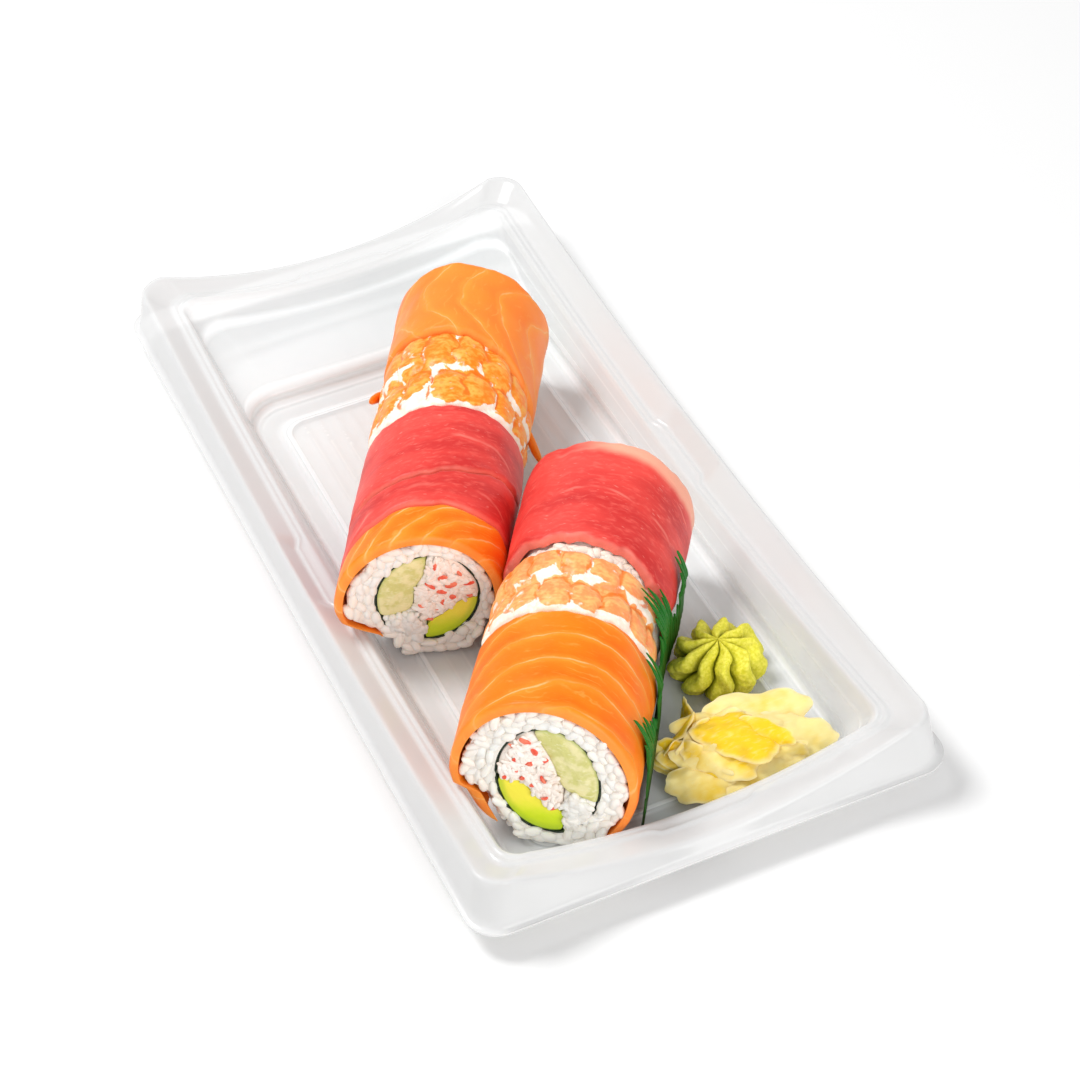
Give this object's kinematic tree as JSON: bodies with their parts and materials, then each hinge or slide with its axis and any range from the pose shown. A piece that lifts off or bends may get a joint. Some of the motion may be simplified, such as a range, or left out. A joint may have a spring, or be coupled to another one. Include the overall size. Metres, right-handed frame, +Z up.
{
  "type": "takeaway sushi tray",
  "caption": "Clear takeaway tray of filled sushi rolls draped with salmon, tuna and prawn, with pickled ginger, green paste and a divider leaf",
  "frame": {"origin": "Middle of the tray's outline, at the height of the table it stands on", "axes": "X across the tray, Y along its long side towards the end with the sloping ramp, Z up"},
  "size_m": [0.13, 0.268, 0.0452],
  "materials": {
    "clear_plastic": "clear, glossy thermoformed sheet",
    "rice": "cooked rice, moist and slightly translucent",
    "nori": "dark green-black seaweed",
    "salmon": "raw salmon, moist, with pale fat lines",
    "tuna": "raw tuna, moist, with fine pale sinews",
    "prawn": "cooked prawn, white with orange patches",
    "crab": "shredded crab stick, white with red flecks",
    "cucumber": "cut cucumber, pale green",
    "avocado": "ripe avocado, yellow to green",
    "green_paste": "grainy green horseradish paste",
    "ginger": "pickled ginger, translucent pale yellow",
    "leaf": "green plastic film with fine ribs"
  },
  "bodies": {
    "root": {"tray": "clear_plastic", "rice_left": "rice", "nori_left": "nori", "crab_left": "crab", "cucumber_left": "cucumber", "avocado_left": "avocado", "inner_rice_left": "rice", "rice_right": "rice", "nori_right": "nori", "crab_right": "crab", "cucumber_right": "cucumber", "avocado_right": "avocado", "inner_rice_right": "rice", "salmon_left_back": "salmon", "prawn_left": "prawn", "tuna_left_back": "tuna", "tuna_left_front": "tuna", "salmon_left_front": "salmon", "tuna_right": "tuna", "prawn_right": "prawn", "salmon_right": "salmon", "divider_leaf": "leaf", "green_paste": "green_paste", "ginger": "ginger"}
  },
  "joints": []
}
